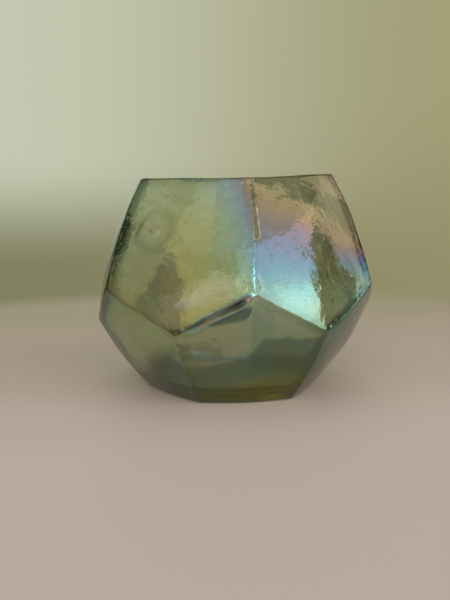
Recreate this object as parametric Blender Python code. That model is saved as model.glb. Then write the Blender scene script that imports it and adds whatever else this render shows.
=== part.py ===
"""Six-sided faceted glass vessel, blown in a mould and open at the top.

It is one piece of glass: a thick flat base, six lower facets that lean out, six
upper facets that lean in and stand half a step round from the lower ones, and a
rim cut off level. Every facet is slightly domed, and all twelve are equally far
from one point on the axis, the heart of the vessel.

Metres, +Z up. The vessel stands on the origin, and the middle of a lower facet
faces -Y. A turn is an angle about Z, from -Y towards +X.
"""

from math import atan2, cos, hypot, pi, radians, sin, sqrt

import bmesh
import bpy
from mathutils import Vector

# The mould
SIDES = 6
RIM_HEIGHT = 0.095
HEART_HEIGHT = 0.0488
FACET_REACH = 0.0584
LOWER_TILT = radians(33.9)
UPPER_TILT = radians(18.6)
DOME_RADIUS = 0.150

# The glass
WALL = 0.0018
BASE_THICKNESS = 0.0048
HEEL_ROUND = 0.0022
FLOOR_FILLET = 0.0050
LIP_ROUND = 0.0007
OUTER_SOFTNESS = 0.0006
INNER_SOFTNESS = 0.0025

# How finely the surface is divided
COLUMNS_PER_FACET = 12
COLUMN_CROWDING = 0.72
EDGE_BAND = 0.0019
LOWER_RINGS = 4
UPPER_RINGS = 5
ARC_STEPS = 3
MERGE_DISTANCE = 1e-6

GLASS_COLOUR = (0.36, 0.47, 0.30, 1.0)
GLASS_ROUGHNESS = 0.04
GLASS_IOR = 1.5

STEP = 2 * pi / SIDES
HEART = Vector((0, 0, HEART_HEIGHT))


def direction(turn, tilt):
    """Unit vector at this turn, tilted up from level."""
    return Vector((sin(turn) * cos(tilt), -cos(turn) * cos(tilt), sin(tilt)))


def facet_normals():
    """Where the twelve facets face."""
    normals = []
    for side in range(SIDES):
        normals.append(direction(side * STEP, -LOWER_TILT))
        normals.append(direction((side + 0.5) * STEP, UPPER_TILT))
    return normals


DOME_CENTRES = [HEART - (DOME_RADIUS - FACET_REACH) * normal for normal in facet_normals()]


def dome_distance(centre, turn, height, inset):
    """How far from the axis one facet's dome lies at this turn and height."""
    along = direction(turn, 0).dot(centre)
    slice_squared = (DOME_RADIUS - inset) ** 2 - (height - centre.z) ** 2
    return along + sqrt(along**2 - centre.x**2 - centre.y**2 + slice_squared)


def soft_least(values, softness):
    """The least value, eased where the next one comes within the softness of it."""
    least, *others = sorted(values)
    for value in others:
        overlap = max(softness - (value - least), 0)
        least -= overlap**2 / (4 * softness)
    return least


def wall_distance(turn, height, inset, softness):
    """How far from the axis the wall lies, all facets taken together."""
    distances = [dome_distance(centre, turn, height, inset) for centre in DOME_CENTRES]
    return soft_least(distances, softness)


def crease_height(turn, inset):
    """Height of the zigzag edge between the lower and the upper facets.

    Seen from the heart the edge between two neighbouring domes is straight, so
    its slope there gives the direction in which the lower dome is met.
    """
    from_lower = abs((turn + STEP / 2) % STEP - STEP / 2)
    from_upper = STEP / 2 - from_lower
    lower_level = cos(LOWER_TILT) * cos(from_lower)
    upper_level = cos(UPPER_TILT) * cos(from_upper)
    slope = (lower_level - upper_level) / (sin(LOWER_TILT) + sin(UPPER_TILT))
    facing = (lower_level - slope * sin(LOWER_TILT)) / hypot(1, slope)
    offset = DOME_RADIUS - FACET_REACH
    along = -offset * facing
    reach = along + sqrt(along**2 + (DOME_RADIUS - inset) ** 2 - offset**2)
    return HEART_HEIGHT + reach * slope / hypot(1, slope)


BLANK_OUTSIDE = FACET_REACH
BLANK_INSIDE = FACET_REACH - WALL
BLANK_WAIST = crease_height(STEP / 4, 0)
PRESS_FROM = BASE_THICKNESS + FLOOR_FILLET
PRESS_TO = RIM_HEIGHT - LIP_ROUND


def arc(centre_radius, centre_height, size, start, end):
    """Profile points along a quarter round."""
    points = []
    for step in range(ARC_STEPS + 1):
        angle = start + (end - start) * step / ARC_STEPS
        points.append((centre_radius + size * cos(angle), centre_height + size * sin(angle)))
    return points


def wall_heights(low, high):
    """Ring heights up one face of the wall, with three rings close together at the waist."""
    below = BLANK_WAIST - EDGE_BAND
    above = BLANK_WAIST + EDGE_BAND
    heights = [low + (below - low) * ring / LOWER_RINGS for ring in range(1, LOWER_RINGS)]
    heights += [below, BLANK_WAIST, above]
    heights += [above + (high - above) * ring / UPPER_RINGS for ring in range(1, UPPER_RINGS)]
    return heights


def blank_profile():
    """Half section of the plain cup, from the middle of its underside round to its floor."""
    quarter = pi / 2
    heel = arc(BLANK_OUTSIDE - HEEL_ROUND, HEEL_ROUND, HEEL_ROUND, -quarter, 0)
    outer_lip = arc(BLANK_OUTSIDE - LIP_ROUND, PRESS_TO, LIP_ROUND, 0, quarter)
    inner_lip = arc(BLANK_INSIDE + LIP_ROUND, PRESS_TO, LIP_ROUND, quarter, 2 * quarter)
    fillet = arc(BLANK_INSIDE - FLOOR_FILLET, PRESS_FROM, FLOOR_FILLET, 0, -quarter)
    outside = [(BLANK_OUTSIDE, height) for height in wall_heights(HEEL_ROUND, PRESS_TO)]
    inside = [(BLANK_INSIDE, height) for height in reversed(wall_heights(PRESS_FROM, PRESS_TO))]
    underside = [(0, 0), (BLANK_INSIDE / 2, 0)]
    floor = [(BLANK_INSIDE / 2, BASE_THICKNESS), (0, BASE_THICKNESS)]
    return underside + heel + outside + outer_lip + inner_lip + inside + fillet + floor


def turn_blank():
    """Spin the half section into a plain round cup."""
    cup = bmesh.new()
    verts = [cup.verts.new((0, -radius, height)) for radius, height in blank_profile()]
    edges = [cup.edges.new(pair) for pair in zip(verts, verts[1:])]
    bmesh.ops.spin(
        cup,
        geom=verts + edges,
        cent=(0, 0, 0),
        axis=(0, 0, 1),
        angle=2 * pi,
        steps=SIDES * COLUMNS_PER_FACET,
        use_merge=True,
    )
    bmesh.ops.remove_doubles(cup, verts=cup.verts, dist=MERGE_DISTANCE)
    bmesh.ops.recalc_face_normals(cup, faces=cup.faces)
    return cup


def crowd(turn):
    """Draw the columns together beside the upright edges, which come every half step."""
    half_steps = turn / (STEP / 2)
    return (half_steps - COLUMN_CROWDING * sin(2 * pi * half_steps) / (2 * pi)) * STEP / 2


def pressed_height(height, waist):
    """Bend the cup's level waist to the zigzag edge, leaving the base and the rim level."""
    if not PRESS_FROM < height < PRESS_TO:
        return height
    if height < BLANK_WAIST:
        return PRESS_FROM + (height - PRESS_FROM) * (waist - PRESS_FROM) / (BLANK_WAIST - PRESS_FROM)
    return PRESS_TO + (height - PRESS_TO) * (waist - PRESS_TO) / (BLANK_WAIST - PRESS_TO)


def press(cup):
    """Press the round cup into the mould, so that its wall takes on the facets."""
    for vert in cup.verts:
        radius = hypot(vert.co.x, vert.co.y)
        if radius < MERGE_DISTANCE:
            continue
        turn = crowd(atan2(vert.co.x, -vert.co.y))
        through = max((radius - BLANK_INSIDE) / WALL, 0)
        height = pressed_height(vert.co.z, crease_height(turn, WALL * (1 - through)))
        inner = wall_distance(turn, height, WALL, INNER_SOFTNESS)
        outer = wall_distance(turn, height, 0, OUTER_SOFTNESS)
        share = min(radius / BLANK_INSIDE, 1)
        vert.co = direction(turn, 0) * (inner * share + (outer - inner) * through)
        vert.co.z = height


def glass_material():
    """Green-tinted clear glass."""
    material = bpy.data.materials.new("green_glass")
    material.use_nodes = True
    shader = material.node_tree.nodes["Principled BSDF"]
    shader.inputs["Base Color"].default_value = GLASS_COLOUR
    shader.inputs["Roughness"].default_value = GLASS_ROUGHNESS
    shader.inputs["Metallic"].default_value = 0
    shader.inputs["IOR"].default_value = GLASS_IOR
    shader.inputs["Transmission Weight"].default_value = 1
    material.diffuse_color = GLASS_COLOUR
    return material


def add_vessel(collection):
    """The vessel as one named object."""
    cup = turn_blank()
    press(cup)
    mesh = bpy.data.meshes.new("glass_vessel")
    cup.to_mesh(mesh)
    cup.free()
    mesh.shade_smooth()
    mesh.materials.append(glass_material())
    collection.objects.link(bpy.data.objects.new("glass_vessel", mesh))


def main():
    for leftover in list(bpy.data.objects):
        bpy.data.objects.remove(leftover)
    collection = bpy.data.collections.new("Faceted glass vessel")
    bpy.context.scene.collection.children.link(collection)
    add_vessel(collection)


main()
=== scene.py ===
"""Looks of the faceted lustre-glass vessel: hand-blown glass, its seeds, floor, light and camera.

Metres, +Z up, in the solid's own frame. A turn is an angle about Z, from -Y towards +X.
Tables of rows hold turns in degrees and lengths in millimetres, unless they say otherwise.
"""

from math import cos, pi, radians, sin
from random import Random
from types import SimpleNamespace

import bmesh
import bpy
import numpy as np
from mathutils import Matrix, Vector, noise


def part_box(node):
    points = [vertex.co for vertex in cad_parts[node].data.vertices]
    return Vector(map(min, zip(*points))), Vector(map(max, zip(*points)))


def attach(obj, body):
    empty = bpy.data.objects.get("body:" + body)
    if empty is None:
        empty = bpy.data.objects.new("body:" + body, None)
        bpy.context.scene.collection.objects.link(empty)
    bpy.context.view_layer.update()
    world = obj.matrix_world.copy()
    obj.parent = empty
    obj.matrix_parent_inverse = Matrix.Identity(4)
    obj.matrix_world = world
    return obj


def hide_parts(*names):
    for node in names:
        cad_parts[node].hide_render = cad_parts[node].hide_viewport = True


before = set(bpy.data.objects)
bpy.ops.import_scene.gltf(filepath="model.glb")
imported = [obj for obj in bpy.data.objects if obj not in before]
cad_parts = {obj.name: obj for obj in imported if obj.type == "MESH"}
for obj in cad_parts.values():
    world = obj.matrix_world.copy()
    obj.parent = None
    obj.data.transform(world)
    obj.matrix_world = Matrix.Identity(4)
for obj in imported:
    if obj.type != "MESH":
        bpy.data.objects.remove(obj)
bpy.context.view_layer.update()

MM = 0.001
NODE = "glass_vessel"

# The mould, as the solid has it
SIDES = 6
STEP = 2 * pi / SIDES
RIM_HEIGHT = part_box(NODE)[1][2]
HEART_HEIGHT = 48.8 * MM
FACET_REACH = 58.4 * MM
LOWER_TILT = radians(33.9)
UPPER_TILT = radians(18.6)
DOME_RADIUS = 150 * MM

# The glass, with a tighter heel and crisper outer edges than the solid has
WALL = 1.8 * MM
BASE_THICKNESS = 4.8 * MM
HEEL_ROUND = 1.0 * MM
FLOOR_FILLET = 5.0 * MM
LIP_ROUND = 0.7 * MM
OUTER_SOFTNESS = 0.4 * MM
INNER_SOFTNESS = 2.5 * MM

# How finely the blown surface is divided, with the flat's rings spaced by shares of the inside
COLUMNS_PER_FACET = 84
COLUMN_CROWDING = 0.62
OUTER_RINGS = 92
INNER_RINGS = 44
WAIST_CROWDING = 0.6
FLAT_RINGS = 6
FLAT_SPACING = 0.15
ARC_STEPS = 6
MERGE_DISTANCE = 1e-7

# Waves that blowing leaves in both faces of the wall, and in the floor as far up as the foot reaches
SLOW_WAVE = 24 * MM
SLOW_DEPTH = 0.30 * MM
SHORT_WAVE = 8 * MM
SHORT_DEPTH = 0.07 * MM
FOOT_WAVE = 16 * MM
FOOT_DEPTH = 0.2 * MM
FOOT_REACH = 22 * MM
# How far away the inner face takes its waves from, so that they aren't the outer face's
INNER_SHIFT = Vector((0.31, 0.17, 0.23))

# How the blower's hand draws the rim out of level
RIM_WANDER_FROM = 60 * MM
RIM_RISE = 1.45 * MM
RIM_LEAN = 0.75 * MM
RIM_WAVE = -0.73 * MM
# Upright edges drawn aside: the edge's turn, then its shift low down and at the rim, all in degrees
EDGE_SHIFTS = ((-60, -3.0, -3.0), (0, 0.0, 1.0))
EDGE_SHIFT_WIDTH = radians(18)
# Bulges: turn and half width, then height, half height and depth
BULGES = ((80, 24, 21, 9, 0.85), (0, 28, 0, 8, 2.0))
# Nearer the axis than this a bulge eases out
BULGE_FROM = 30 * MM
BULGE_EASE = 4

# The mould's seam, a strip beside the front edge: its widths are at its foot and at the rim
SEAM_DEPTH = 0.30 * MM
SEAM_FROM = 71 * MM
SEAM_WIDTHS = (2.6 * MM, 0.5 * MM)
SEAM_SIDE = 0.25 * MM

# The bead on one crease: turn, and the share of its full rise
BEAD_ROWS = ((-26, 0), (-20, 0.33), (-9, 0.73), (-5.5, 1), (-1.2, 0))
BEAD_RISE = 1.5 * MM
BEAD_WIDTH = 1.2 * MM
BEAD_SHADE_WIDTH = 1.8 * MM
# Over one, so that the lustre is gone before the bead is at its thickest
BEAD_BARE = 1.5

# The whorl that a tool left, with a ring of painted shade round it
WHORL = Vector((-37.8, -38.5, 74)) * MM
WHORL_SIZE = 6.5 * MM
WHORL_WAVE = 8.0 * MM
WHORL_DEPTH = 0.2 * MM
WHORL_RING = 8.0 * MM
WHORL_RING_WIDTH = 2.2 * MM

# Lumps along the edges
LUMP_WAVE = 2.4 * MM
LUMP_DEPTH = 0.14 * MM
LUMP_REACH = 1.6 * MM

# Seeds, the bubbles in the glass: turn and height, then half sizes along, up and through the wall
LARGE_SEEDS = (
    (-15.8, 31.7, 1.2, 0.35, 0.4),
    (-3.8, 18.4, 0.6, 0.3, 0.4),
    (-2.2, 54.5, 1.0, 0.5, 0.5),
    (-1.0, 53.0, 0.6, 0.4, 0.5),
    (7.0, 64.5, 0.6, 0.5, 0.5),
    (14.5, 65.4, 0.7, 0.5, 0.5),
    (19.3, 66.7, 1.1, 0.5, 0.5),
    (2.2, 79.0, 0.4, 0.5, 0.4),
    (2.4, 73.5, 0.5, 0.5, 0.4),
    (2.0, 71.5, 0.5, 0.6, 0.4),
    (3.0, 69.5, 0.4, 0.8, 0.4),
    (19.4, 50.5, 0.3, 0.5, 0.4),
    (20.3, 46.5, 0.3, 0.6, 0.4),
    (23.7, 53.0, 0.3, 0.5, 0.4),
    (23.9, 47.8, 0.4, 0.7, 0.4),
    (33.5, 55.0, 0.4, 1.0, 0.4),
    (34.5, 52.0, 0.4, 1.2, 0.45),
    (36.0, 50.0, 0.3, 0.9, 0.4),
    (33.0, 47.5, 0.5, 0.8, 0.4),
    (34.5, 45.0, 0.4, 1.0, 0.45),
    (37.0, 46.8, 0.3, 0.7, 0.4),
    (-36.0, 94.7, 1.4, 0.35, 0.45),
    (-33.0, 94.4, 1.0, 0.5, 0.5),
    (-30.5, 94.7, 1.6, 0.4, 0.45),
    (-27.0, 94.3, 1.2, 0.6, 0.55),
    (-24.5, 94.5, 1.1, 0.55, 0.55),
    (-22.0, 94.3, 0.9, 0.6, 0.5),
    (-18.0, 41.5, 0.9, 0.3, 0.4),
    (-15.0, 43.4, 1.0, 0.35, 0.4),
    (-12.5, 44.8, 0.7, 0.3, 0.4),
    (-10.0, 46.6, 1.0, 0.35, 0.4),
    (-8.0, 47.9, 0.6, 0.3, 0.4),
)
# Small seeds scattered all round: how many, and between which sizes, stretches and heights
SMALL_SEEDS = 60
SMALL_SEED_SIZES = (0.12, 0.32)
SMALL_SEED_STRETCH = (0.8, 2.2)
SMALL_SEED_HEIGHTS = (14, 90)
SCATTER_START = 11
SEED_SUBDIVISIONS = 2

# The lustre film: height, then thickness in nanometres at the front edge, to its left and to its right
FILM_ROWS = (
    (0, 250, 246, 258),
    (7, 246, 246, 252),
    (12, 232, 246, 240),
    (25, 222, 246, 231),
    (35, 217, 247, 222),
    (44, 209, 248, 211),
    (51, 203, 248, 207),
    (59, 181, 245, 187),
    (67, 171, 240, 169),
    (75, 163, 239, 156),
    (83, 150, 238, 132),
    (91, 124, 238, 116),
)
# How far the front edge's thickness spreads: to the left by height, and to the right
FILM_LEFT_SPREADS = ((36, 25), (49, 13), (60, 13), (70, 9))
FILM_RIGHT_SPREAD = 6 * MM
# Farther to the right than this the film's bands fan out, up and down from one height
FAN_FROM = 20 * MM
FAN_HEIGHT = 62 * MM
FAN_SLOPE = 0.1
FAN_REACH = 8 * MM
FAN_SHARE = 0.7

# Painted shade near the foot, standing in for the darkness seen through the lower facets: turn and how high
# it reaches
FOOT_SHADE_TOPS = (
    (-100, 3),
    (-60, 5),
    (-50, 15),
    (-40, 20),
    (-28, 18),
    (-20, 19.5),
    (-10, 21),
    (-2, 23),
    (0, 24),
    (3, 29.5),
    (8, 31),
    (22, 30),
    (30, 30),
    (36, 36),
    (50, 38),
    (70, 24),
    (110, 5),
    (150, 3),
)
# Turn and how softly the painted shade ends, then height and its colour
FOOT_SHADE_FADES = ((-38, 8), (-30, 1))
FOOT_SHADE_TONES = ((4, 0.30, 0.41, 0.37), (14, 0.29, 0.35, 0.37), (20, 0.45, 0.45, 0.48))
FOOT_SHADE_RIPPLE = 1.2 * MM
FOOT_SHADE_RIPPLE_WAVE = 4 * MM
FOOT_SHADE_UNDERNEATH = 0.5

# Painted amber light in the base at the front, lifting the painted shade there: its shares are by height
AMBER_LIGHT_TURN = radians(14)
AMBER_LIGHT_WIDTH = radians(17)
AMBER_LIGHT_ROWS = ((9, 1), (17, 0))
AMBER_LIGHT_COLOUR = (0.99, 0.88, 0.50)

# Cool painted shade on the lower facets of the right front, and green on those of both sides: turn and share
RIGHT_FRONT_SHADE_ROWS = ((-2, 0), (0, 1), (60, 1), (66, 0))
RIGHT_FRONT_SHADE_FADE = 10 * MM
RIGHT_FRONT_SHADE_COLOUR = (0.70, 0.80, 0.76)
GREEN_ROWS = ((-180, 0), (-110, 1), (-34, 1), (-28, 0), (30, 0), (36, 1), (110, 1), (180, 0))
GREEN_FADE = 1.0 * MM
GREEN_COLOUR = (0.91, 1, 0.83)

# Painted shade under the bead, standing in for a dark reflection: turn, then how far below the crease it
# starts and ends
UNDER_BEAD_SHADE_ROWS = ((-20, 0.9, 0.5), (-16, 0.9, 3.6), (-4, 1.8, 8.0), (-2.4, 2.6, 7.6), (-1.2, 4.5, 4.2))
UNDER_BEAD_SHADE_FADE = 0.9 * MM
UNDER_BEAD_SHADE_COLOUR = (0.25, 0.26, 0.35)

# Painted shade along the edges between facets, where the glass looks darker: turn, share and width
EDGE_SHADE_ROWS = (
    (-180, 0.15, 2),
    (-100, 0.6, 2),
    (-70, 1, 5.5),
    (-60, 1, 5.5),
    (-54, 0.4, 2),
    (-46, 0.1, 2),
    (-25, 0.3, 2),
    (-8, 0, 2),
    (8, 0, 2),
    (20, 0.4, 2),
    (32, 1, 2),
    (48, 1, 2),
    (58, 0.5, 2),
    (70, 0.8, 2),
    (180, 0.15, 2),
)
EDGE_SHADE_LOW_SHARE = 0.4
EDGE_SHADE_LOW_FROM = 4 * MM
EDGE_SHADE_FADE = 2 * MM
EDGE_SHADE_COLOUR = (0.10, 0.28, 0.20)

# Colours of the other marks; those of the lip and of the whorl's ring are painted shade
BEAD_COLOUR = (0.06, 0.04, 0.03)
LIP_SHADE_COLOUR = (0.32, 0.37, 0.28)
WHORL_RING_SHADE_COLOUR = (0.74, 0.77, 0.74)
SEAM_COLOUR = (0.62, 0.57, 0.42)

# The glass itself: what it takes out of the light on its way through
GLASS_IOR = 1.5
GLASS_COLOUR = (0.55, 0.52, 0.05, 1)
GLASS_DENSITY = 60

# The film on it: the thickness in nanometres at which it is a full lustre, and its tints by thickness
FILM_IOR = 1.85
FILM_LOW = 90
FILM_HIGH = 265
FILM_TINTS = (
    (90, (0.93, 0.96, 0.92)),
    (123, (0.60, 0.58, 0.50)),
    (145, (0.58, 0.57, 0.60)),
    (168, (0.63, 0.64, 0.64)),
    (194, (0.65, 0.65, 0.59)),
    (216, (0.57, 0.63, 0.49)),
    (238, (0.56, 0.60, 0.50)),
    (260, (0.58, 0.56, 0.40)),
)
# Slow drift and fine mottle of the film, in nanometres either way
FILM_DRIFT = 9
FILM_MOTTLE = 30

# Spots of noise: how many to the metre, how many finer layers they have, and how far they are swirled
DRIFT_SPOTS = (45, 4, 0.6)
MOTTLE_SPOTS = (1500, 2)
WAVE_SPOTS = (160, 1.5)
HAMMER_SPOTS = (420, 2.5)
GRAIN_SPOTS = (1000, 1)
HAZE_SPOTS = (90, 3)
SEED_SPOTS = (900, 2)

# Fine ripple of the surface: shares of its hammered spots away from edges and along them, and of its grain
RIPPLE_DEPTH = 0.18 * MM
HAMMER_SHARES = (0.35, 0.9)
GRAIN_SHARE = 0.12
EDGE_RIPPLE_WIDTH = 2 * MM
# It is weaker up to the second of these heights, and stronger on the inner face
RIPPLE_HEIGHTS = (20 * MM, 55 * MM)
RIPPLE_AT_FOOT = 0.2
RIPPLE_INSIDE = 1.6

# Roughness at its least, on the bare glass, the film and the seeds, and what the haze adds
BARE_ROUGHNESS = 0.04
FILM_ROUGHNESS = 0.005
SEED_ROUGHNESS = 0.01
GLASS_HAZE = 0.04
SEED_HAZE = 0.11
SEED_CLEAR = (0.97, 0.98, 0.96, 1)
SEED_DULL = (0.86, 0.90, 0.84, 1)

# The floor, a disc just under the vessel, with its tones in front and, darkened by painted shade, at the
# back
FLOOR_RADIUS = 390 * MM
FLOOR_FADE_SHARE = 0.8
FLOOR_SEGMENTS = 128
FLOOR_DROP = 0.1 * MM
FLOOR_DEPTHS = (-100 * MM, 250 * MM)
FLOOR_FRONT = (0.68, 0.56, 0.55, 1)
FLOOR_SHADED_BACK = (0.445, 0.39, 0.295, 1)
FLOOR_ROUGHNESS = 0.6

# The backdrop: between which tilts in degrees its tone changes, and the tones below and above
BACKDROP_LEFT = ((-5, 3), (0.22, 0.22, 0.12, 1), (0.55, 0.575, 0.43, 1))
BACKDROP_RIGHT = ((-8, 8), (0.29, 0.265, 0.14, 1), (0.36, 0.345, 0.19, 1))
# Where the left tone turns into the right one, as shares of the way to the right
BACKDROP_SIDES = (-0.12, 0.4)
# Where it lights the glass in full: from this share of the way back, and between two shares of the
# way to the right, with the softness of their ends. Elsewhere it is weaker
BACKDROP_BACK = 0.3
BACKDROP_BAND = (-0.2, 0.5, 0.05)
ELSEWHERE_STRENGTH = 0.18

# Soft panels of light: turn and tilt from and to, lean, softness, strength and colour, angles in degrees
DAYLIGHT = (1.0, 0.99, 0.96, 1)
WARM = (1.0, 0.95, 0.88, 1)
ROSE = (1.0, 0.86, 0.86, 1)
GOLD = (1.0, 0.95, 0.62, 1)
BROWN = (1.0, 0.5, 0.3, 1)
PANELS = (
    (42, 72.5, -8, 23, 0, 0.8, 2.6, DAYLIGHT),
    (8, 43.3, 23, 29, -1.35, 0.8, 2.6, DAYLIGHT),
    (52, 70, 1, 14, 0, 4.0, 1.7, DAYLIGHT),
    (76, 90, -2, 10, 0, 3.0, 0.25, WARM),
    (-20, 37, 1, 44, 0, 2.0, 2.0, DAYLIGHT),
    (-24, -10, 16, 27, 0, 1.0, 4.0, DAYLIGHT),
    (99.5, 109, 9.5, 29, 0.65, 0.8, 0.65, DAYLIGHT),
    (99.5, 109, 9.5, 15.5, 0.65, 0.8, 0.55, DAYLIGHT),
    (99.5, 125, 15.5, 31, 0.65, 0.8, 0.55, DAYLIGHT),
    (85, 104, -8, 9.5, -1.0, 0.8, 1.5, DAYLIGHT),
    (60, 113.5, 29, 46.5, 0.917, 1.2, 1.15, WARM),
    (125.5, 150, 25, 40, 0.917, 1.2, 0.75, WARM),
    (-62, -10, 43, 60, 0, 3.0, 1.1, ROSE),
    (-110, -62, 43, 60, 0, 3.0, 0.5, WARM),
    (-64, -10, 30, 43, 0, 2.0, 1.0, WARM),
    (-110, -64, 30, 43, 0, 2.0, 0.65, WARM),
    (-34.3, 14, 17, 30, 1.1, 1.5, 0.80, GOLD),
    (-53, -10, 3, 17, 0, 1.5, 1.0, GOLD),
    (-33, -10, 0, 34, 0, 4.0, 0.9, WARM),
    (-105, -79.4, 3, 30, -0.55, 1.5, 0.5, WARM),
    (-62.5, -53, 3, 25, 0, 1.2, 0.25, BROWN),
    (-180, 180, 64, 91, 0, 2.0, 0.5, DAYLIGHT),
)

# Where the photograph was taken from
IMAGE_HEIGHT = 600
FOCAL_PIXELS = 800
SENSOR = 36.0
CLIP_START = 10 * MM
CAMERA_DISTANCE = 372.7 * MM
CAMERA_HEIGHT = 87.8 * MM
CAMERA_TURN = radians(-8.22)
CAMERA_YAW = radians(-0.587)
CAMERA_PITCH = radians(7.337)
CAMERA_ROLL = radians(-0.537)


def direction(turn, tilt):
    """Unit vector at this turn, tilted up from level."""
    return Vector((sin(turn) * cos(tilt), -cos(turn) * cos(tilt), sin(tilt)))


def bell(value, width):
    """One in the middle, falling off smoothly over the width."""
    return np.exp(-((value / width) ** 2))


def step_up(value, width):
    """Nothing below zero, one past the width."""
    return np.clip(value / width, 0, 1)


def between_rows(values, rows):
    """The rows' other columns, each in straight lines from row to row, where the first has these values."""
    first, *others = np.transpose(rows)
    return [np.interp(values, first, other) for other in others]


def noise_at(places, wave):
    """Smooth noise at each place, from about -1 to 1."""
    return np.array([noise.noise(place) for place in (places / wave).tolist()])


def dome_centres():
    """Centres of the twelve facets' domes, one row each."""
    heart = Vector((0, 0, HEART_HEIGHT))
    centres = []
    for side in range(SIDES):
        for normal in (direction(side * STEP, -LOWER_TILT), direction((side + 0.5) * STEP, UPPER_TILT)):
            centres.append(heart - (DOME_RADIUS - FACET_REACH) * normal)
    return np.array(centres)


DOME_CENTRES = dome_centres()


def wall_distances(turn, height, inset, softness):
    """Distance from the axis to the wall, and how far behind it the next facet lies.

    The wall is eased where the next two facets come within the softness of it.
    """
    x, y, z = (DOME_CENTRES[:, [axis]] for axis in range(3))
    along = x * np.sin(turn) - y * np.cos(turn)
    slice_squared = (DOME_RADIUS - inset) ** 2 - (height - z) ** 2
    domes = np.sort(along + np.sqrt(along**2 - x**2 - y**2 + slice_squared), axis=0)
    least = domes[0]
    for other in domes[1:3]:
        overlap = np.maximum(softness - (other - least), 0)
        least = least - overlap**2 / (4 * softness)
    return least, domes[1] - domes[0]


def crease_heights(turn, inset):
    """Height of the zigzag edge between the lower and the upper facets."""
    from_lower = np.abs((turn + STEP / 2) % STEP - STEP / 2)
    lower_level = cos(LOWER_TILT) * np.cos(from_lower)
    upper_level = cos(UPPER_TILT) * np.cos(STEP / 2 - from_lower)
    slope = (lower_level - upper_level) / (sin(LOWER_TILT) + sin(UPPER_TILT))
    offset = DOME_RADIUS - FACET_REACH
    along = -offset * (lower_level - slope * sin(LOWER_TILT)) / np.hypot(1, slope)
    reach = along + np.sqrt(along**2 + (DOME_RADIUS - inset) ** 2 - offset**2)
    return HEART_HEIGHT + reach * slope / np.hypot(1, slope)


# The plain cup before the mould, and the heights between which the mould bends it
BLANK_OUTSIDE = FACET_REACH
BLANK_INSIDE = FACET_REACH - WALL
BLANK_WAIST = float(crease_heights(np.array(STEP / 4), 0))
INSIDE_LIMIT = BLANK_INSIDE + LIP_ROUND / 10
PRESS_FROM = BASE_THICKNESS + FLOOR_FILLET
PRESS_TO = RIM_HEIGHT - LIP_ROUND


def arc(centre_radius, centre_height, size, start, end):
    """Profile points along a quarter round."""
    angles = [start + (end - start) * step / ARC_STEPS for step in range(ARC_STEPS + 1)]
    return [(centre_radius + size * cos(angle), centre_height + size * sin(angle)) for angle in angles]


def crowded(share):
    """A share of the way to the waist, moved so that rings gather there."""
    return share + WAIST_CROWDING * sin(pi * share) / pi


def wall_heights(low, high, rings):
    """Ring heights up one face of the wall, gathered at the waist."""
    below = round(rings * (BLANK_WAIST - low) / (high - low))
    above = rings - below
    heights = [low + (BLANK_WAIST - low) * crowded(ring / below) for ring in range(1, below + 1)]
    heights += [high - (high - BLANK_WAIST) * crowded(1 - ring / above) for ring in range(1, above)]
    return heights


def blank_profile():
    """Half section of the plain cup, from the middle of its underside round to its floor."""
    quarter = pi / 2
    heel = arc(BLANK_OUTSIDE - HEEL_ROUND, HEEL_ROUND, HEEL_ROUND, -quarter, 0)
    outer_lip = arc(BLANK_OUTSIDE - LIP_ROUND, PRESS_TO, LIP_ROUND, 0, quarter)
    inner_lip = arc(BLANK_INSIDE + LIP_ROUND, PRESS_TO, LIP_ROUND, quarter, 2 * quarter)
    fillet = arc(BLANK_INSIDE - FLOOR_FILLET, PRESS_FROM, FLOOR_FILLET, 0, -quarter)
    outside = [(BLANK_OUTSIDE, height) for height in wall_heights(HEEL_ROUND, PRESS_TO, OUTER_RINGS)]
    inside = [(BLANK_INSIDE, height) for height in wall_heights(PRESS_FROM, PRESS_TO, INNER_RINGS)]
    flat = [BLANK_INSIDE * FLAT_SPACING * ring for ring in range(FLAT_RINGS)]
    underside = [(radius, 0) for radius in flat]
    floor = [(radius, BASE_THICKNESS) for radius in reversed(flat)]
    return underside + heel + outside + outer_lip + inner_lip + inside[::-1] + fillet + floor


def turned_cup():
    """Spin the half section into a plain round cup."""
    cup = bmesh.new()
    verts = [cup.verts.new((0, -radius, height)) for radius, height in blank_profile()]
    edges = [cup.edges.new(pair) for pair in zip(verts, verts[1:])]
    bmesh.ops.spin(
        cup,
        geom=verts + edges,
        cent=(0, 0, 0),
        axis=(0, 0, 1),
        angle=2 * pi,
        steps=SIDES * COLUMNS_PER_FACET,
        use_merge=True,
    )
    bmesh.ops.remove_doubles(cup, verts=cup.verts, dist=MERGE_DISTANCE)
    bmesh.ops.recalc_face_normals(cup, faces=cup.faces)
    mesh = bpy.data.meshes.new("glass_body")
    cup.to_mesh(mesh)
    cup.free()
    return mesh


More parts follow.
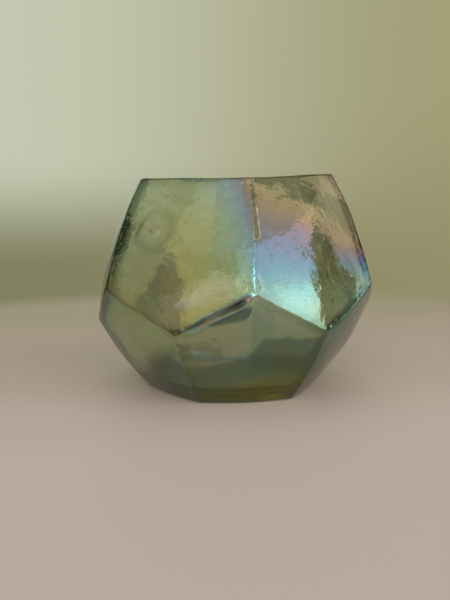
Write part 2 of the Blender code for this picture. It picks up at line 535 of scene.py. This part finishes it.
def pressed(places):
    """The round cup after the mould, as values for each place on its wall.

    They are the turn, the distance from the axis, the height, the gap to the facet
    behind, which is nothing on an edge, and how far above the zigzag crease it is.
    """
    radius = np.hypot(places[:, 0], places[:, 1])
    half_steps = np.arctan2(places[:, 0], -places[:, 1]) / (STEP / 2)
    turn = (half_steps - COLUMN_CROWDING * np.sin(2 * pi * half_steps) / (2 * pi)) * STEP / 2
    through = np.maximum((radius - BLANK_INSIDE) / WALL, 0)
    waist = crease_heights(turn, WALL * (1 - through))
    height = np.clip(places[:, 2], PRESS_FROM, PRESS_TO)
    lower = PRESS_FROM + (height - PRESS_FROM) * (waist - PRESS_FROM) / (BLANK_WAIST - PRESS_FROM)
    upper = PRESS_TO + (height - PRESS_TO) * (waist - PRESS_TO) / (BLANK_WAIST - PRESS_TO)
    bent = np.where(height < BLANK_WAIST, lower, upper) + places[:, 2] - height
    inner, _ = wall_distances(turn, bent, WALL, INNER_SOFTNESS)
    outer, gap = wall_distances(turn, bent, 0, OUTER_SOFTNESS)
    distance = inner * np.minimum(radius / BLANK_INSIDE, 1) + (outer - inner) * through
    return SimpleNamespace(
        turn=turn,
        degrees=np.degrees(turn),
        distance=distance,
        height=bent,
        gap=gap,
        above=bent - waist,
    )


def hand_drawn(wall):
    """Places on the wall after the blower's hand has drawn the rim, the edges and one side out of true."""
    toward_rim = np.clip((wall.height - RIM_WANDER_FROM) / (RIM_HEIGHT - RIM_WANDER_FROM), 0, 1)
    rise = RIM_RISE + RIM_LEAN * np.sin(wall.turn) + RIM_WAVE * np.cos(2 * wall.turn)
    distance = wall.distance.copy()
    for at_turn, turn_width, at_height, height_width, depth in BULGES:
        swell = bell(wall.turn - radians(at_turn), radians(turn_width))
        swell *= bell(wall.height - at_height * MM, height_width * MM)
        distance += depth * MM * swell * step_up(wall.distance, BULGE_FROM) ** BULGE_EASE
    turn = wall.turn.copy()
    for edge, low_shift, rim_shift in EDGE_SHIFTS:
        shift = low_shift + (rim_shift - low_shift) * toward_rim
        turn += np.radians(shift) * bell(wall.turn - radians(edge), EDGE_SHIFT_WIDTH)
    height = wall.height + rise * toward_rim
    return np.stack([distance * np.sin(turn), -distance * np.cos(turn), height], axis=1)


def hand_waves(places, inside):
    """Depth of the shallow waves that blowing leaves in both faces of the wall, and of the uneven floor."""
    spots = places + np.outer(inside, INNER_SHIFT)
    waves = SLOW_DEPTH * noise_at(spots, SLOW_WAVE) + SHORT_DEPTH * noise_at(spots, SHORT_WAVE)
    foot = FOOT_DEPTH * noise_at(spots, FOOT_WAVE) * (1 - step_up(places[:, 2], FOOT_REACH))
    return np.where(inside, waves + foot, waves * step_up(places[:, 2], PRESS_FROM))


def seam_shares(wall):
    """Where the mould's seam runs: a strip that widens as it comes down from the rim."""
    across = wall.distance * wall.turn
    width = np.interp(wall.height, (SEAM_FROM, RIM_HEIGHT), SEAM_WIDTHS)
    sides = step_up(across + SEAM_SIDE, SEAM_SIDE) * step_up(width - across, SEAM_SIDE)
    return sides * step_up(wall.height - SEAM_FROM, SEAM_SIDE)


def bead_shares(wall, width):
    """How much of the bead there is on one crease, from nothing to one where it is thickest."""
    [share] = between_rows(wall.degrees, BEAD_ROWS)
    return share * bell(wall.above, width)


def whorl_distances(places):
    """How far each place is from the middle of the whorl."""
    return np.linalg.norm(places - np.array(WHORL), axis=1)


def tool_marks(wall, places):
    """Depth of the bead on one crease, of a whorl where the tool touched, of lumpy edges and of the seam."""
    bead = BEAD_RISE * bead_shares(wall, BEAD_WIDTH)
    away = whorl_distances(places)
    whorl = WHORL_DEPTH * np.cos(2 * pi * away / WHORL_WAVE) * bell(away, WHORL_SIZE)
    lumps = LUMP_DEPTH * noise_at(places, LUMP_WAVE) * bell(wall.gap, LUMP_REACH)
    lumps *= step_up(wall.height, HEEL_ROUND)
    return bead + whorl + lumps - SEAM_DEPTH * seam_shares(wall)


def film_depths(places):
    """Thickness of the lustre film at each place, in nanometres."""
    sideways, _, height = places.T
    beside = np.maximum(sideways - FAN_FROM, 0)
    fan = np.clip((height - FAN_HEIGHT + FAN_SLOPE * beside) / FAN_REACH, -1, 1)
    level = (height + FAN_SHARE * beside * fan) / MM
    edge, left, right = between_rows(level, FILM_ROWS)
    [left_spread] = between_rows(level, FILM_LEFT_SPREADS)
    on_left = sideways < 0
    away = np.where(on_left, left, right)
    spread = np.where(on_left, left_spread * MM, FILM_RIGHT_SPREAD)
    return away + (edge - away) * np.exp(-np.abs(sideways) / spread)


def foot_painted_shade(wall, places):
    """Colour of the painted shade near the foot, with painted amber light in it."""
    [top] = between_rows(wall.degrees, FOOT_SHADE_TOPS)
    [fade] = between_rows(wall.degrees, FOOT_SHADE_FADES)
    top = top * MM + FOOT_SHADE_RIPPLE * noise_at(places, FOOT_SHADE_RIPPLE_WAVE)
    share = 1 - step_up(wall.height - top, fade * MM)
    share *= FOOT_SHADE_UNDERNEATH + (1 - FOOT_SHADE_UNDERNEATH) * step_up(wall.height, HEEL_ROUND)
    tones = np.stack(between_rows(wall.height / MM, FOOT_SHADE_TONES), axis=1)
    [amber_light] = between_rows(wall.height / MM, AMBER_LIGHT_ROWS)
    amber_light = amber_light * bell(wall.turn - AMBER_LIGHT_TURN, AMBER_LIGHT_WIDTH)
    tones = tones + amber_light[:, np.newaxis] * (np.array(AMBER_LIGHT_COLOUR) - tones)
    return 1 - share[:, np.newaxis] * (1 - tones)


def under_bead_shade_shares(wall):
    """Where the painted shade lies under the bead."""
    start, end = between_rows(wall.degrees, UNDER_BEAD_SHADE_ROWS)
    return step_up(wall.above + end * MM, UNDER_BEAD_SHADE_FADE) * step_up(-wall.above - start * MM, UNDER_BEAD_SHADE_FADE)


def edge_shade_shares(wall):
    """How much painted shade the edges between facets get, which is less below the crease."""
    share, width = between_rows(wall.degrees, EDGE_SHADE_ROWS)
    above = step_up(wall.above + EDGE_SHADE_LOW_FROM, EDGE_SHADE_FADE)
    return share * bell(wall.gap, width * MM) * (EDGE_SHADE_LOW_SHARE + (1 - EDGE_SHADE_LOW_SHARE) * above)


def mixed(share, colour):
    """White where the share is nothing, the colour where it is one."""
    return 1 - np.outer(share, 1 - np.array(colour))


def tints_and_painted_shade(wall, places):
    """What tints the lustre, coat over coat, from the painted shade at the foot to the seam; the coats under
    the bead, on the right front, along the edges, on the lip and round the whorl are painted shade too.

    They are squared at the end, because glass takes the root of its colour at each face.
    """
    [right_front_shade] = between_rows(wall.degrees, RIGHT_FRONT_SHADE_ROWS)
    [green] = between_rows(wall.degrees, GREEN_ROWS)
    coats = (
        # Painted shade under the bead
        (under_bead_shade_shares(wall), UNDER_BEAD_SHADE_COLOUR),
        # Cool painted shade on the lower facets of the right front
        (right_front_shade * step_up(-wall.above, RIGHT_FRONT_SHADE_FADE), RIGHT_FRONT_SHADE_COLOUR),
        (green * step_up(-wall.above, GREEN_FADE), GREEN_COLOUR),
        # Painted shade along the edges between facets
        (edge_shade_shares(wall), EDGE_SHADE_COLOUR),
        (bead_shares(wall, BEAD_SHADE_WIDTH), BEAD_COLOUR),
        # Painted shade along the rim's lip
        (step_up(wall.height - PRESS_TO, LIP_ROUND / 2), LIP_SHADE_COLOUR),
        # A ring of painted shade round the whorl
        (bell(whorl_distances(places) - WHORL_RING, WHORL_RING_WIDTH), WHORL_RING_SHADE_COLOUR),
        (seam_shares(wall), SEAM_COLOUR),
    )
    shade = foot_painted_shade(wall, places)
    for share, colour in coats:
        shade = shade * mixed(share, colour)
    return shade**2


def vectors(items, name):
    """One row of three numbers for each item."""
    rows = np.empty((len(items), 3))
    items.foreach_get(name, rows.ravel())
    return rows


def move_verts(mesh, places):
    """Put the mesh's vertices in these places."""
    mesh.vertices.foreach_set("co", places.ravel())
    mesh.update()


def add_values(mesh, name, values):
    """Give each vertex a value that a material can read."""
    attribute = mesh.attributes.new(name, "FLOAT", "POINT")
    attribute.data.foreach_set("value", np.asarray(values, dtype=np.float32))


def add_colours(mesh, name, colours):
    """Give each vertex a colour that a material can read."""
    attribute = mesh.attributes.new(name, "FLOAT_COLOR", "POINT")
    attribute.data.foreach_set("color", np.insert(colours, 3, 1, axis=1).astype(np.float32).ravel())


def dress(piece_mesh, name):
    """Make the mesh a piece of the object."""
    piece_mesh.shade_smooth()
    piece = bpy.data.objects.new(name, piece_mesh)
    bpy.context.scene.collection.objects.link(piece)
    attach(piece, "root")
    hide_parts(NODE)


def glass_body(haze):
    """The blown vessel, lustred outside and plain inside."""
    mesh = turned_cup()
    blank = vectors(mesh.vertices, "co")
    inside = (np.hypot(blank[:, 0], blank[:, 1]) < INSIDE_LIMIT) & (blank[:, 2] > BASE_THICKNESS / 2)
    wall = pressed(blank)
    places = hand_drawn(wall)
    move_verts(mesh, places)
    outward = vectors(mesh.vertex_normals, "vector")
    depths = hand_waves(places, inside) + np.where(inside, 0, tool_marks(wall, places))
    move_verts(mesh, places + outward * depths[:, np.newaxis])
    bare = inside + seam_shares(wall) + BEAD_BARE * bead_shares(wall, BEAD_SHADE_WIDTH)
    add_values(mesh, "film", film_depths(places) * np.clip(1 - bare, 0, 1))
    add_values(mesh, "edge", bell(wall.gap, EDGE_RIPPLE_WIDTH))
    # The shade colours hold the glass's own tints and the painted shade
    add_colours(mesh, "shade", np.where(inside[:, np.newaxis], 1, tints_and_painted_shade(wall, places)))
    mesh.materials.append(lustre_glass(haze))
    dress(mesh, "glass_body")


def seed_rows():
    """The placed seeds and a scatter of small ones."""
    draw = Random(SCATTER_START)
    rows = list(LARGE_SEEDS)
    for _ in range(SMALL_SEEDS):
        size = draw.uniform(*SMALL_SEED_SIZES)
        stretch = draw.uniform(*SMALL_SEED_STRETCH)
        turn = draw.uniform(-180, 180)
        height = draw.uniform(*SMALL_SEED_HEIGHTS)
        rows.append((turn, height, size * stretch, size, size))
    return rows


def in_wall(turn, height):
    """Where to set a thing half way through the wall: along it, through it and up."""
    outer, _ = wall_distances(turn, height, 0, OUTER_SOFTNESS)
    inner, _ = wall_distances(turn, height, WALL, INNER_SOFTNESS)
    outward = direction(turn, 0)
    sideways = direction(turn + pi / 2, 0)
    axes = Matrix((sideways, outward, Vector((0, 0, 1)))).transposed().to_4x4()
    middle = outward * float(outer[0] + inner[0]) / 2 + Vector((0, 0, height))
    return Matrix.Translation(middle) @ axes


def seeds(haze):
    """Bubbles caught half way through the wall."""
    bubbles = bmesh.new()
    for turn, height, along, up, through in seed_rows():
        size = Matrix.Diagonal((along * MM, through * MM, up * MM, 1))
        place = in_wall(radians(turn), height * MM) @ size
        bmesh.ops.create_icosphere(bubbles, subdivisions=SEED_SUBDIVISIONS, radius=1, matrix=place)
    bmesh.ops.recalc_face_normals(bubbles, faces=bubbles.faces)
    mesh = bpy.data.meshes.new("seeds")
    bubbles.to_mesh(mesh)
    bubbles.free()
    mesh.materials.append(seed_air(haze))
    dress(mesh, "seeds")


def fill(tree, node, inputs):
    """Fill a node's inputs with values or with other nodes' outputs."""
    for name, value in inputs.items():
        if isinstance(value, bpy.types.NodeSocket):
            tree.links.new(value, node.inputs[name])
        else:
            node.inputs[name].default_value = value


def put(tree, kind, inputs=None, **settings):
    """Add a node, set it and fill its inputs."""
    node = tree.nodes.new("ShaderNode" + kind)
    for name, value in settings.items():
        setattr(node, name, value)
    fill(tree, node, inputs or {})
    return node


def times(tree, first, second):
    """The product of two values."""
    return put(tree, "Math", {0: first, 1: second}, operation="MULTIPLY").outputs[0]


def plus(tree, first, second):
    """The sum of two values."""
    return put(tree, "Math", {0: first, 1: second}, operation="ADD").outputs[0]


def ranged(tree, value, span=(0, 1), to=(0, 1), soft=False):
    """The value moved from its span to another range, and held within it."""
    limits = {"From Min": span[0], "From Max": span[1], "To Min": to[0], "To Max": to[1]}
    ends = "SMOOTHSTEP" if soft else "LINEAR"
    return put(tree, "MapRange", {"Value": value, **limits}, interpolation_type=ends).outputs["Result"]


def blend(tree, share, first, second, kind="MIX"):
    """One colour that turns into another as the share rises."""
    return put(tree, "MixRGB", {0: share, 1: first, 2: second}, blend_type=kind).outputs[0]


def spotted(tree, place, scale, detail, swirl=0):
    """Noise in spots, from nothing to one."""
    inputs = {"Vector": place, "Scale": scale, "Detail": detail, "Distortion": swirl}
    return put(tree, "TexNoise", inputs).outputs["Fac"]


def read_attribute(tree, name, output):
    """What a piece's vertices hold under this name."""
    return put(tree, "Attribute", attribute_name=name).outputs[output]


def new_material(name):
    """A new material with its nodes and its shader."""
    material = bpy.data.materials.new(name)
    material.use_nodes = True
    return material, material.node_tree, material.node_tree.nodes["Principled BSDF"]


def glass_haze():
    """Node group for the uneven dullness of glass: spots that add to a least roughness."""
    group = bpy.data.node_groups.new("glass_haze", "ShaderNodeTree")
    group.interface.new_socket("Place", in_out="INPUT", socket_type="NodeSocketVector")
    for name in ("Scale", "Detail", "Least", "Added"):
        group.interface.new_socket(name, in_out="INPUT", socket_type="NodeSocketFloat")
    for name in ("Haze", "Roughness"):
        group.interface.new_socket(name, in_out="OUTPUT", socket_type="NodeSocketFloat")
    given = group.nodes.new("NodeGroupInput").outputs
    haze = spotted(group, given["Place"], given["Scale"], given["Detail"])
    roughness = plus(group, given["Least"], times(group, haze, given["Added"]))
    fill(group, group.nodes.new("NodeGroupOutput"), {"Haze": haze, "Roughness": roughness})
    return group


def hazed(tree, haze, place, spots, least, added):
    """Place the haze in a material."""
    scale, detail = spots
    inputs = {"Place": place, "Scale": scale, "Detail": detail, "Least": least, "Added": added}
    return put(tree, "Group", inputs, node_tree=haze).outputs


def ripple(tree, place, lustred):
    """Height of the fine ripple of hand-blown glass, stronger on the inside, up the wall and along edges."""
    wave = spotted(tree, place, *WAVE_SPOTS)
    hammer = spotted(tree, place, *HAMMER_SPOTS)
    grain = spotted(tree, place, *GRAIN_SPOTS)
    hammered = ranged(tree, read_attribute(tree, "edge", "Fac"), to=HAMMER_SHARES)
    rough = plus(tree, times(tree, hammer, hammered), times(tree, grain, GRAIN_SHARE))
    height = put(tree, "SeparateXYZ", {"Vector": place}).outputs["Z"]
    upward = ranged(tree, height, span=RIPPLE_HEIGHTS, to=(RIPPLE_AT_FOOT, 1))
    share = ranged(tree, lustred, to=(RIPPLE_INSIDE, 1))
    return times(tree, times(tree, plus(tree, wave, rough), upward), share)


def film_tints(tree, depth):
    """Colour that the film gives the glass, by its thickness."""
    ramp = put(tree, "ValToRGB", {"Fac": ranged(tree, depth, span=(FILM_LOW, FILM_HIGH))})
    stops = ramp.color_ramp.elements
    while len(stops) < len(FILM_TINTS):
        stops.new(1)
    for stop, (thickness, colour) in zip(stops, FILM_TINTS):
        stop.position = (thickness - FILM_LOW) / (FILM_HIGH - FILM_LOW)
        stop.color = (*colour, 1)
    return ramp.outputs["Color"]


def lustre_glass(haze):
    """Green glass, under a film of metal oxide outside that colours it as its thickness changes."""
    material, tree, shader = new_material("lustre_glass")
    place = put(tree, "TexCoord").outputs["Object"]
    film = read_attribute(tree, "film", "Fac")
    lustred = ranged(tree, film, span=(0, FILM_LOW))
    drift = ranged(tree, spotted(tree, place, *DRIFT_SPOTS), to=(-FILM_DRIFT, FILM_DRIFT))
    mottle = ranged(tree, spotted(tree, place, *MOTTLE_SPOTS), to=(-FILM_MOTTLE, FILM_MOTTLE))
    depth = plus(tree, film, times(tree, plus(tree, drift, mottle), lustred))
    # Own tints and painted shade, multiplied into the film's colour
    shade = read_attribute(tree, "shade", "Color")
    bump = put(tree, "Bump", {"Height": ripple(tree, place, lustred), "Distance": RIPPLE_DEPTH})
    least = ranged(tree, lustred, to=(BARE_ROUGHNESS, FILM_ROUGHNESS))
    finish = {
        "Base Color": blend(tree, 1, film_tints(tree, depth), shade, "MULTIPLY"),
        "Roughness": hazed(tree, haze, place, HAZE_SPOTS, least, GLASS_HAZE)["Roughness"],
        "IOR": GLASS_IOR,
        "Transmission Weight": 1,
        "Thin Film IOR": FILM_IOR,
        "Thin Film Thickness": depth,
        "Normal": bump.outputs["Normal"],
    }
    fill(tree, shader, finish)
    tint = put(tree, "VolumeAbsorption", {"Color": GLASS_COLOUR, "Density": GLASS_DENSITY})
    fill(tree, tree.nodes["Material Output"], {"Volume": tint.outputs[0]})
    return material


def seed_air(haze):
    """The air in a seed: glass turned inside out, with a thin haze on its skin."""
    material, tree, shader = new_material("seed_air")
    place = put(tree, "TexCoord").outputs["Object"]
    skin = hazed(tree, haze, place, SEED_SPOTS, SEED_ROUGHNESS, SEED_HAZE)
    finish = {
        "Base Color": blend(tree, skin["Haze"], SEED_CLEAR, SEED_DULL),
        "Roughness": skin["Roughness"],
        "IOR": 1 / GLASS_IOR,
        "Transmission Weight": 1,
    }
    fill(tree, shader, finish)
    return material


def pale_floor():
    """A plain pale finish with painted shade darkening it towards the back, fading out at the floor's edge.
    """
    material, tree, shader = new_material("pale_floor")
    place = put(tree, "TexCoord").outputs["Object"]
    back = ranged(tree, put(tree, "SeparateXYZ", {"Vector": place}).outputs["Y"], span=FLOOR_DEPTHS)
    reach = put(tree, "VectorMath", {0: place}, operation="LENGTH").outputs["Value"]
    finish = {
        "Base Color": blend(tree, back, FLOOR_FRONT, FLOOR_SHADED_BACK),
        "Roughness": FLOOR_ROUGHNESS,
        "Alpha": ranged(tree, reach, span=(FLOOR_RADIUS, FLOOR_FADE_SHARE * FLOOR_RADIUS)),
    }
    fill(tree, shader, finish)
    return material


def stage_floor():
    """The floor that the vessel stands on."""
    disc = bmesh.new()
    bmesh.ops.create_circle(disc, cap_ends=True, segments=FLOOR_SEGMENTS, radius=FLOOR_RADIUS)
    mesh = bpy.data.meshes.new("floor")
    disc.to_mesh(mesh)
    disc.free()
    mesh.materials.append(pale_floor())
    floor = bpy.data.objects.new("floor", mesh)
    floor.location.z = -FLOOR_DROP
    bpy.context.scene.collection.objects.link(floor)


def band(tree, value, low, high, soft):
    """One between two limits and nothing outside them, with soft ends."""
    risen = ranged(tree, value, span=(low - soft, low + soft), soft=True)
    fallen = ranged(tree, value, span=(high + soft, high - soft), soft=True)
    return times(tree, risen, fallen)


def rising_tone(tree, tilt, tilts, below, above):
    """Colour that changes softly from one to the other as the tilt rises."""
    low, high = tilts
    upward = ranged(tree, tilt, span=(radians(low), radians(high)), soft=True)
    return blend(tree, upward, below, above)


def panel_light(tree, turn, tilt, panel):
    """One soft panel of light, upright or leaning."""
    turn_from, turn_to, tilt_from, tilt_to, lean, soft, strength, colour = panel
    leaning = plus(tree, turn, times(tree, tilt, lean))
    across = band(tree, leaning, radians(turn_from), radians(turn_to), radians(soft))
    up = band(tree, tilt, radians(tilt_from), radians(tilt_to), radians(soft))
    glow = times(tree, times(tree, across, up), strength)
    return put(tree, "Background", {"Color": colour, "Strength": glow}).outputs[0]


def studio_light():
    """A pale backdrop all round, with soft panels that the glass reflects but the camera doesn't see."""
    world = bpy.data.worlds.new("studio")
    bpy.context.scene.world = world
    world.use_nodes = True
    tree = world.node_tree
    toward = put(tree, "SeparateXYZ", {"Vector": put(tree, "TexCoord").outputs["Generated"]})
    right, back, up = toward.outputs
    turn = put(tree, "Math", {0: right, 1: times(tree, back, -1)}, operation="ARCTAN2").outputs[0]
    tilt = put(tree, "Math", {0: up}, operation="ARCSINE").outputs[0]
    left_tone = rising_tone(tree, tilt, *BACKDROP_LEFT)
    right_tone = rising_tone(tree, tilt, *BACKDROP_RIGHT)
    tone = blend(tree, ranged(tree, right, span=BACKDROP_SIDES, soft=True), left_tone, right_tone)
    behind = ranged(tree, back, span=(0, BACKDROP_BACK))
    framed = times(tree, behind, band(tree, right, *BACKDROP_BAND))
    strength = ranged(tree, framed, to=(ELSEWHERE_STRENGTH, 1))
    light = put(tree, "Background", {"Color": tone, "Strength": strength}).outputs[0]
    for panel in PANELS:
        light = put(tree, "AddShader", {0: light, 1: panel_light(tree, turn, tilt, panel)}).outputs[0]
    seen = put(tree, "LightPath").outputs["Is Camera Ray"]
    plain = put(tree, "Background", {"Color": tone}).outputs[0]
    shown = put(tree, "MixShader", {0: seen, 1: light, 2: plain}).outputs[0]
    fill(tree, tree.nodes["World Output"], {"Surface": shown})


def photo_camera():
    """The camera, where the photograph was taken from."""
    lens = bpy.data.cameras.new("photo_camera")
    lens.sensor_fit = "VERTICAL"
    lens.sensor_height = SENSOR
    lens.lens = SENSOR * FOCAL_PIXELS / IMAGE_HEIGHT
    lens.clip_start = CLIP_START
    camera = bpy.data.objects.new("photo_camera", lens)
    ahead = direction(pi - CAMERA_YAW, -CAMERA_PITCH)
    right = Vector((cos(CAMERA_YAW), -sin(CAMERA_YAW), 0))
    up = right.cross(ahead)
    level = Matrix((right, up, -ahead)).transposed()
    turn = Matrix.Rotation(CAMERA_TURN, 3, "Z")
    rotation = turn @ level @ Matrix.Rotation(CAMERA_ROLL, 3, "Z")
    place = turn @ Vector((0, -CAMERA_DISTANCE, CAMERA_HEIGHT))
    camera.matrix_world = Matrix.Translation(place) @ rotation.to_4x4()
    bpy.context.scene.collection.objects.link(camera)
    bpy.context.scene.camera = camera


haze_group = glass_haze()
glass_body(haze_group)
seeds(haze_group)
stage_floor()
studio_light()
photo_camera()
bpy.context.scene.view_settings.view_transform = "Standard"
